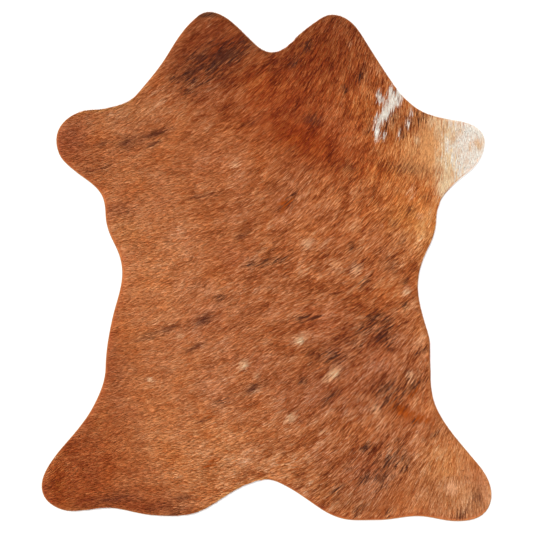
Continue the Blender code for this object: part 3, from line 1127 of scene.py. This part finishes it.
def brindle_group():
    """Coarse and fine streaks that follow the comb, each swinging about zero."""
    outputs = {streaks.name: "Float" for streaks in STREAKS}
    tree, start = new_tree("brindle", "ShaderNodeTree", {"Place": "Vector", "Comb": "Float"}, outputs)
    shares = []
    power = 0.0
    for angle in BRINDLE_TURNS:
        off = math_node(tree, "ABSOLUTE", math_node(tree, "SUBTRACT", start.outputs["Comb"], angle))
        off = math_node(tree, "DIVIDE", off, TURN_STEP)
        share = math_node(tree, "SUBTRACT", 1.0, off, use_clamp=True)
        power = math_node(tree, "MULTIPLY_ADD", share, share, power)
        shares.append(share)
    evened = math_node(tree, "SQRT", math_node(tree, "MAXIMUM", power, LEAST_POWER))
    sums = {}
    for streaks in STREAKS:
        total = 0.0
        for index, (angle, share) in enumerate(zip(BRINDLE_TURNS, shares)):
            seed = streaks.seed + SEED_STEP * index
            swing = turned_streaks(tree, start.outputs["Place"], angle, streaks, seed)
            total = math_node(tree, "MULTIPLY_ADD", swing, share, total)
        sums[streaks.name] = math_node(tree, "DIVIDE", total, evened)
    add_node(tree, "NodeGroupOutput", sums)
    return tree


brindle = brindle_group()
print(f"brindle made of {len(brindle.nodes)} nodes")

# %% [markdown]
# ## The colour of the coat
#
# A second group turns the brindle and the markings into one colour. It starts from the plain
# red-brown, warms it or greys it with a rosy painted sheen, multiplies it by the washes, with their
# painted sheen and the painted light of the cut edge, and lays the markings over it in the order in
# which they cover each other on the animal: smoky and dark brindle, rust, fawn, pale scars, cream,
# white and tan. The streaks eat into the rim of each marking, so that single locks of one colour stand
# in the other, as where two coats meet.

# %% Shades of the coat and of its markings
def shade_of(red, green, blue):
    """A shader colour from the 0 to 255 numbers of a paint chart."""
    linear = [((c / 255.0 + 0.055) / 1.055) ** 2.4 for c in (red, green, blue)]
    return (*linear, 1.0)


CoatShade = namedtuple("CoatShade", "name stop color")
COAT_SHADES = (
    CoatShade("deep", 0.0, shade_of(124, 49, 13)),
    CoatShade("dark", 0.27, shade_of(180, 91, 39)),
    CoatShade("middle", 0.5, shade_of(214, 128, 72)),
    CoatShade("light", 0.75, shade_of(234, 158, 104)),
    CoatShade("pale", 1.0, shade_of(247, 192, 148)),
)
# What covers the plain coat, where on the scale of its attribute it begins and is whole, and how far
# streaks and single locks break up its rim.
Cover = namedtuple("Cover", "attribute color begins whole wear")
COVERS = (
    Cover("smoke", shade_of(116, 56, 34), 0.0, 1.1, -0.7),
    Cover("dark", shade_of(84, 42, 30), 0.05, 1.4, -1.9),
    Cover("rust", shade_of(200, 94, 14), 0.2, 0.9, 1.7),
    Cover("fawn", shade_of(248, 185, 122), 0.1, 1.1, 0.6),
    Cover("pale", shade_of(255, 196, 148), 0.1, 0.85, 0.9),
    Cover("cream", shade_of(255, 228, 186), 0.1, 1.0, 0.7),
    Cover("white", shade_of(255, 249, 238), 0.24, 0.72, 0.9),
    Cover("tan", shade_of(243, 203, 158), 0.08, 1.0, 0.5),
)
print(f"{len(COAT_SHADES)} shades of plain coat and {len(COVERS)} covers")

# %% Coat colour node group
COARSE_STRENGTH = 0.96
FINE_STRENGTH = 0.42
LOCK_STRENGTH = 0.62
HUE_PATCHES = (14.0, 3.0, 0.6)  # scale to the metre, detail and roughness of their noise
HUE_STRENGTH = 1.5
RUSTY_TURN = (1.10, 0.86, 0.42, 1.0)  # what multiplies the coat's red, green and blue where it is rusty
# Painted sheen: rosy, greyer patches of coat where the hair catches the light.
ROSY_SHEEN_TURN = (1.06, 1.14, 1.45, 1.0)
STREAK_WEAR = 2.4
LOCK_WEAR = 0.5
RIM_PEAK = 4.0  # makes a cover's rim, its strength times what it leaves bare, rise to 1


def mix_colors(tree, share, under, over, blend="MIX"):
    """A Mix node for two colours, as its output socket."""
    node = add_node(tree, "ShaderNodeMix", {0: share, 6: under, 7: over}, data_type="RGBA", blend_type=blend)
    return node.outputs[2]


def attribute(tree, name, output="Fac"):
    """An attribute of the mesh, as a socket."""
    return add_node(tree, "ShaderNodeAttribute", attribute_name=name).outputs[output]


def map_range(tree, value, low, high, at_low=0.0, at_high=1.0, **settings):
    """A Map Range node from low and high to at_low and at_high, as its output socket."""
    inputs = {0: value, 1: low, 2: high, 3: at_low, 4: at_high}
    return add_node(tree, "ShaderNodeMapRange", inputs, **settings).outputs[0]


def coat_color_group():
    """The colour of the coat at a place, from its brindle, its washes and its markings."""
    inputs = {"Place": "Vector", "Shade": "Float"}
    tree, start = new_tree("coat_color", "ShaderNodeTree", inputs, {"Color": "Color"})
    place = start.outputs["Place"]
    followed = {"Place": place, "Comb": attribute(tree, "comb")}
    streaks = add_node(tree, "ShaderNodeGroup", followed, node_tree=brindle)
    coarse, fine = streaks.outputs["Coarse"], streaks.outputs["Fine"]
    own = math_node(tree, "SUBTRACT", start.outputs["Shade"], 0.5)

    swing = 0.0
    for part, strength in ((coarse, COARSE_STRENGTH), (fine, FINE_STRENGTH), (own, LOCK_STRENGTH)):
        swing = math_node(tree, "MULTIPLY_ADD", part, strength, swing)
    tone = math_node(tree, "MULTIPLY_ADD", swing, attribute(tree, "lively"), 0.5)
    ramp = add_node(tree, "ShaderNodeValToRGB", {0: tone})
    stops = ramp.color_ramp.elements
    stops[0].color = COAT_SHADES[0].color
    stops[1].color = COAT_SHADES[-1].color
    for shade in COAT_SHADES[1:-1]:
        stops.new(shade.stop).color = shade.color
    color = ramp.outputs[0]

    patches = noise_node(tree, place, *HUE_PATCHES, noise_dimensions="2D")
    hue = math_node(tree, "SUBTRACT", patches, 0.5)
    rusty = math_node(tree, "MULTIPLY", hue, HUE_STRENGTH, use_clamp=True)
    rosy_sheen = math_node(tree, "MULTIPLY", hue, -HUE_STRENGTH, use_clamp=True)
    color = mix_colors(tree, rusty, color, RUSTY_TURN, "MULTIPLY")
    color = mix_colors(tree, rosy_sheen, color, ROSY_SHEEN_TURN, "MULTIPLY")
    color = mix_colors(tree, 1.0, color, attribute(tree, "wash", "Vector"), "MULTIPLY")

    ragged = math_node(tree, "MULTIPLY_ADD", fine, STREAK_WEAR, math_node(tree, "MULTIPLY", own, LOCK_WEAR))
    for cover in COVERS:
        there = attribute(tree, cover.attribute)
        bare = math_node(tree, "SUBTRACT", 1.0, there)
        rim = math_node(tree, "MULTIPLY", there, math_node(tree, "MULTIPLY", bare, RIM_PEAK * cover.wear))
        worn = math_node(tree, "MULTIPLY_ADD", ragged, rim, there)
        share = map_range(tree, worn, cover.begins, cover.whole, interpolation_type="SMOOTHSTEP")
        color = mix_colors(tree, share, color, cover.color)
    add_node(tree, "NodeGroupOutput", {0: color})
    return tree


coat_color = coat_color_group()
print(f"coat colour made of {len(coat_color.nodes)} nodes")

# %% [markdown]
# ## The hair
#
# All hair wears one material. A lock takes its colour from the place of its root, with a rusty root
# that is darker with painted shade, where it lies low in the coat, and a lighter tip, and its gloss is
# the soft one of clean, brushed hair. Each lock is one smooth mesh, so fine noise along it stands for
# its single hairs: as a relief, and as painted shadow between them.

# %% Single hairs node group
HAIRS_ACROSS = 7.0  # single hairs side by side in a lock
HAIR_WAVES = 1.6  # how often they change along it
HAIR_NOISE = (1.0, 1.0, 0.5)  # scale, detail and roughness
SHADE_APART = 97.0  # how far apart in the noise the locks of lowest and highest shade read it
GROOVE = (0.55, 0.3)  # heights at which the shadow between hairs begins and is whole


def single_hairs_group():
    """The single hairs of a lock: a height, and the shadow in the grooves between them."""
    tree, _ = new_tree("single_hairs", "ShaderNodeTree", {}, {"Height": "Float", "Shadow": "Float"})
    strand = {"Vector": attribute(tree, "strand", "Vector"), "Scale": (HAIR_WAVES, HAIRS_ACROSS, 0.0)}
    drawn = add_node(tree, "ShaderNodeMapping", strand).outputs[0]
    own = math_node(tree, "MULTIPLY", attribute(tree, "shade"), SHADE_APART)
    place = vector_math(tree, "ADD", drawn, combine(tree, X=own, Y=own))
    height = noise_node(tree, place, *HAIR_NOISE, noise_dimensions="2D")
    add_node(tree, "NodeGroupOutput", {"Height": height, "Shadow": map_range(tree, height, *GROOVE)})
    return tree


single_hairs = single_hairs_group()
print(f"single hairs made of {len(single_hairs.nodes)} nodes")

# %% Hair material
# The root is painted rusty and darker: partly the hair's own colour, partly painted shade where it lies low
# in the coat.
ROOT_RUST_AND_SHADE = shade_of(226, 150, 90)
ROOT_STRENGTH = 0.5
ROOT_END = 0.3  # of a lock's length
TIP_LIGHT = shade_of(244, 208, 176)
TIP_STRENGTH = 0.2
TIP_START = 0.4
HAIR_SHADOW = shade_of(230, 212, 196)
FAIR_CLEARNESS = 0.95  # how much of its own shadow white and cream hair loses
HAIR_ROUGHNESS = (0.58, 0.38)  # of the locks of lowest and of highest shade
HAIR_RELIEF = 0.05 * MM
HAIR_SPECULAR = 0.2

hair, tree = new_material("hair")
shade = attribute(tree, "shade")
rooted = {"Place": attribute(tree, "root", "Vector"), "Shade": shade}
color = add_node(tree, "ShaderNodeGroup", rooted, node_tree=coat_color).outputs[0]
fair = math_node(tree, "MAXIMUM", attribute(tree, "white"), attribute(tree, "cream"))
shaded = math_node(tree, "MULTIPLY_ADD", fair, -FAIR_CLEARNESS, 1.0)
along = add_node(tree, "ShaderNodeSeparateXYZ", {0: attribute(tree, "strand", "Vector")}).outputs["X"]
root_rust_and_shade = map_range(tree, along, 0.0, ROOT_END, ROOT_STRENGTH, 0.0)
root_rust_and_shade = math_node(tree, "MULTIPLY", root_rust_and_shade, shaded)
color = mix_colors(tree, root_rust_and_shade, color, ROOT_RUST_AND_SHADE, "MULTIPLY")
tip_share = map_range(tree, along, TIP_START, 1.0, 0.0, TIP_STRENGTH)
color = mix_colors(tree, tip_share, color, TIP_LIGHT, "SOFT_LIGHT")
hairs = add_node(tree, "ShaderNodeGroup", node_tree=single_hairs)
groove_share = math_node(tree, "MULTIPLY", hairs.outputs["Shadow"], shaded)
color = mix_colors(tree, groove_share, color, HAIR_SHADOW, "MULTIPLY")
gloss = map_range(tree, shade, 0.0, 1.0, *HAIR_ROUGHNESS)
hair_height = math_node(tree, "MULTIPLY", hairs.outputs["Height"], shaded)
surface = finish_surface(tree, color, gloss, hair_height, HAIR_RELIEF)
surface.inputs["Specular IOR Level"].default_value = HAIR_SPECULAR
for band in coat:
    band.data.materials.clear()
    band.data.materials.append(hair)
print(f"hair on {len(coat)} bands")

# %% [markdown]
# ## The leather's three faces
#
# Seen between the locks, the top of the leather is short underhair in the same pattern, in shade. The
# cut edge is bare tanned skin, and the underside is suede: a fine nap over faint growth lines. Both
# are paler where the hair on them is white.

# %% Leather grain node group
NAP = (1400.0, 3.0, 0.7)  # scale to the metre, detail and roughness of its noise
GROWTH_LINES = (9.0, 5.0, 0.6)
NAP_SHARE = 0.35  # of the mottling, which else follows the growth lines


def leather_grain_group():
    """Nap and growth lines of tanned skin: a mask for its colour, and a height."""
    outputs = {"Mottle": "Float", "Height": "Float"}
    tree, start = new_tree("leather_grain", "ShaderNodeTree", {"Place": "Vector"}, outputs)
    nap = noise_node(tree, start.outputs["Place"], *NAP)
    growth = noise_node(tree, start.outputs["Place"], *GROWTH_LINES)
    growth = math_node(tree, "MULTIPLY", growth, 1.0 - NAP_SHARE)
    mottle = math_node(tree, "MULTIPLY_ADD", nap, NAP_SHARE, growth)
    add_node(tree, "NodeGroupOutput", {"Mottle": mottle, "Height": nap})
    return tree


leather_grain = leather_grain_group()
print(f"leather grain made of {len(leather_grain.nodes)} nodes")

# %% Bare leather of the cut edge and the underside
EDGE_SHADES = (shade_of(150, 84, 14), shade_of(186, 116, 26), shade_of(240, 230, 218))
SUEDE_SHADES = (shade_of(168, 136, 106), shade_of(206, 180, 150), shade_of(214, 196, 172))
WHITE_REACH = 2.2  # how much stronger the pale skin is than the white hair on it, up to 1
LEATHER_SHEEN = 0.2


def leather_material(name, dark, light, under_white, roughness, relief):
    """Bare leather in two shades and a paler one where its hair is white, with its nap as relief."""
    material, tree = new_material(name)
    place = add_node(tree, "ShaderNodeTexCoord").outputs["Object"]
    grain = add_node(tree, "ShaderNodeGroup", {"Place": place}, node_tree=leather_grain)
    color = mix_colors(tree, grain.outputs["Mottle"], dark, light)
    whiteness = math_node(tree, "MULTIPLY", attribute(tree, "white"), WHITE_REACH, use_clamp=True)
    color = mix_colors(tree, whiteness, color, under_white)
    surface = finish_surface(tree, color, roughness, grain.outputs["Height"], relief)
    surface.inputs["Sheen Weight"].default_value = LEATHER_SHEEN
    return material


cut_edge = leather_material("cut_edge", *EDGE_SHADES, roughness=0.7, relief=0.1 * MM)
suede = leather_material("suede_underside", *SUEDE_SHADES, roughness=0.9, relief=0.15 * MM)
print("bare leather:", cut_edge.name, "and", suede.name)

# %% Underhair on the top of the leather
UNDER_SHADE = 0.4
# The underhair takes part of the rusty, darker root colour: painted shade between the locks.
UNDER_RUST_AND_SHADE = 0.5  # how much of the locks' root colour it has
UNDER_ROUGHNESS = 0.8
UNDER_RELIEF = 0.3 * MM

under_hair, tree = new_material("under_hair")
place = add_node(tree, "ShaderNodeTexCoord").outputs["Object"]
color = add_node(
    tree, "ShaderNodeGroup", {"Place": place, "Shade": UNDER_SHADE}, node_tree=coat_color
).outputs[0]
color = mix_colors(tree, UNDER_RUST_AND_SHADE, color, ROOT_RUST_AND_SHADE, "MULTIPLY")
grain = add_node(tree, "ShaderNodeGroup", {"Place": place}, node_tree=leather_grain)
finish_surface(tree, color, UNDER_ROUGHNESS, grain.outputs["Height"], UNDER_RELIEF)

for face in skin.data.polygons:
    if face.normal.z < STEEP:
        face.material_index = CUT_EDGE if face.normal.z > -STEEP else SUEDE
print("leather has", ", ".join(m.name for m in skin.data.materials))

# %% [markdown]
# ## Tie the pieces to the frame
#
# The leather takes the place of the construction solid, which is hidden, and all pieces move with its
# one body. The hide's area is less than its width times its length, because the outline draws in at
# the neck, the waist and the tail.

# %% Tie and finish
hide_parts("hide")
for piece in [skin] + coat:
    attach(piece, "root")
low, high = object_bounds()
